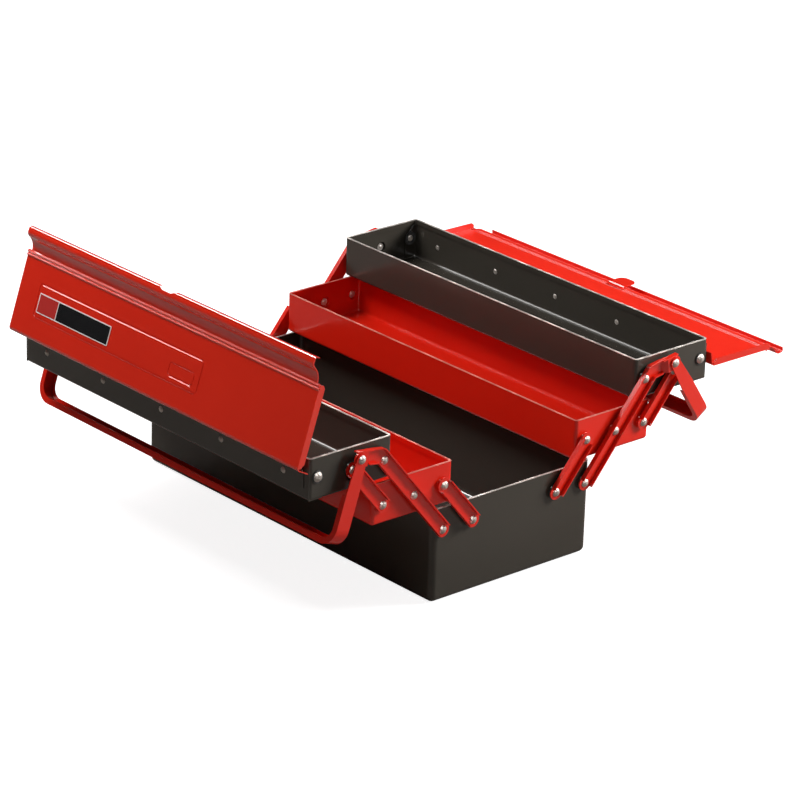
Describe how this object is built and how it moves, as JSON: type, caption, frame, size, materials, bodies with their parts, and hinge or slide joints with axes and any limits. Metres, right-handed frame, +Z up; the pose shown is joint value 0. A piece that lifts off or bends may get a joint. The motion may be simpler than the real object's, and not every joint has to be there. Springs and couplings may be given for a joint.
{
  "type": "tool box",
  "caption": "Steel cantilever tool box: deep base, trays that fold out on riveted arms, hinged lids and folding carrying handles.",
  "frame": {"origin": "middle of the base's underside, on the ground", "axes": "+X along the box, +Y across it towards the rear half, +Z up"},
  "size_m": [0.5034, 0.6927, 0.311],
  "materials": {
    "dark_paint": "satin",
    "red_paint": "gloss",
    "bright_steel": "satin",
    "badge": "gloss",
    "washer": "matte"
  },
  "bodies": {
    "base": {"base_box": "dark_paint", "base_rivets": "bright_steel"},
    "front_arms": {"front_arm_right": "red_paint", "front_arm_left": "red_paint", "front_handle_rivets": "bright_steel"},
    "front_low_links": {"front_low_link_right": "red_paint", "front_low_link_left": "red_paint"},
    "front_low_tray": {"front_lower_tray": "red_paint", "front_lower_rivets": "bright_steel"},
    "front_top_links": {"front_top_link_right": "red_paint", "front_top_link_left": "red_paint"},
    "front_top_tray": {"front_upper_tray": "dark_paint", "front_upper_rivets": "bright_steel", "front_hinge_leaf": "dark_paint", "front_hinge_rivets": "bright_steel", "front_hinge_pin": "bright_steel", "front_stud_washers": "washer", "front_studs": "bright_steel"},
    "front_cover": {"front_lid": "red_paint", "front_lid_badge": "badge"},
    "front_bail": {"front_handle": "red_paint"},
    "rear_arms": {"rear_arm_right": "red_paint", "rear_arm_left": "red_paint", "rear_handle_rivets": "bright_steel"},
    "rear_low_links": {"rear_low_link_right": "red_paint", "rear_low_link_left": "red_paint"},
    "rear_low_tray": {"rear_lower_tray": "red_paint", "rear_lower_rivets": "bright_steel"},
    "rear_top_links": {"rear_top_link_right": "red_paint", "rear_top_link_left": "red_paint"},
    "rear_top_tray": {"rear_upper_tray": "dark_paint", "rear_upper_rivets": "bright_steel", "rear_hinge_leaf": "dark_paint", "rear_hinge_rivets": "bright_steel", "rear_hinge_pin": "bright_steel", "rear_stud_washers": "washer", "rear_studs": "bright_steel"},
    "rear_cover": {"rear_lid": "red_paint", "rear_lid_tongue": "red_paint"},
    "rear_bail": {"rear_handle": "red_paint"}
  },
  "joints": [
    {"name": "front_fold", "type": "hinge", "parent": "base", "child": "front_arms", "pos_m": [0, -0.1, 0.083], "axis": [-1, 0, 0], "range_deg": [0, 26]},
    {"name": "front_low_link_turn", "type": "hinge", "parent": "base", "child": "front_low_links", "pos_m": [0, -0.0585, 0.083], "axis": [-1, 0, 0], "range_deg": [0, 26]},
    {"name": "front_low_tray_turn", "type": "hinge", "parent": "front_arms", "child": "front_low_tray", "pos_m": [0, -0.14114, 0.13203], "axis": [-1, 0, 0], "range_deg": [-26, 0]},
    {"name": "front_top_link_turn", "type": "hinge", "parent": "front_low_tray", "child": "front_top_links", "pos_m": [0, -0.18264, 0.13203], "axis": [-1, 0, 0], "range_deg": [0, 26]},
    {"name": "front_top_tray_turn", "type": "hinge", "parent": "front_arms", "child": "front_top_tray", "pos_m": [0, -0.18228, 0.18105], "axis": [-1, 0, 0], "range_deg": [-26, 0]},
    {"name": "front_lid_turn", "type": "hinge", "parent": "front_top_tray", "child": "front_cover", "pos_m": [0, -0.27962, 0.19025], "axis": [-1, 0, 0], "range_deg": [-108.4, 62.4]},
    {"name": "front_handle_turn", "type": "hinge", "parent": "front_arms", "child": "front_bail", "pos_m": [0, -0.21837, 0.1932], "axis": [-1, 0, 0], "range_deg": [-8, 80]},
    {"name": "rear_fold", "type": "hinge", "parent": "base", "child": "rear_arms", "pos_m": [0, 0.1, 0.083], "axis": [1, 0, 0], "range_deg": [0, 25]},
    {"name": "rear_low_link_turn", "type": "hinge", "parent": "base", "child": "rear_low_links", "pos_m": [0, 0.0585, 0.083], "axis": [1, 0, 0], "range_deg": [0, 25]},
    {"name": "rear_low_tray_turn", "type": "hinge", "parent": "rear_arms", "child": "rear_low_tray", "pos_m": [0, 0.14114, 0.13203], "axis": [1, 0, 0], "range_deg": [-25, 0]},
    {"name": "rear_top_link_turn", "type": "hinge", "parent": "rear_low_tray", "child": "rear_top_links", "pos_m": [0, 0.18264, 0.13203], "axis": [1, 0, 0], "range_deg": [0, 25]},
    {"name": "rear_top_tray_turn", "type": "hinge", "parent": "rear_arms", "child": "rear_top_tray", "pos_m": [0, 0.18228, 0.18105], "axis": [1, 0, 0], "range_deg": [-25, 0]},
    {"name": "rear_lid_turn", "type": "hinge", "parent": "rear_top_tray", "child": "rear_cover", "pos_m": [0, 0.27962, 0.19025], "axis": [1, 0, 0], "range_deg": [0, 170.8]},
    {"name": "rear_handle_turn", "type": "hinge", "parent": "rear_arms", "child": "rear_bail", "pos_m": [0, 0.21837, 0.1932], "axis": [1, 0, 0], "range_deg": [-24, 33]}
  ],
  "couplings": [
    {"joint": "front_low_link_turn", "follows": "front_fold", "ratio": 1},
    {"joint": "front_low_tray_turn", "follows": "front_fold", "ratio": -1},
    {"joint": "front_top_link_turn", "follows": "front_fold", "ratio": 1},
    {"joint": "front_top_tray_turn", "follows": "front_fold", "ratio": -1},
    {"joint": "rear_low_link_turn", "follows": "rear_fold", "ratio": 1},
    {"joint": "rear_low_tray_turn", "follows": "rear_fold", "ratio": -1},
    {"joint": "rear_top_link_turn", "follows": "rear_fold", "ratio": 1},
    {"joint": "rear_top_tray_turn", "follows": "rear_fold", "ratio": -1}
  ]
}
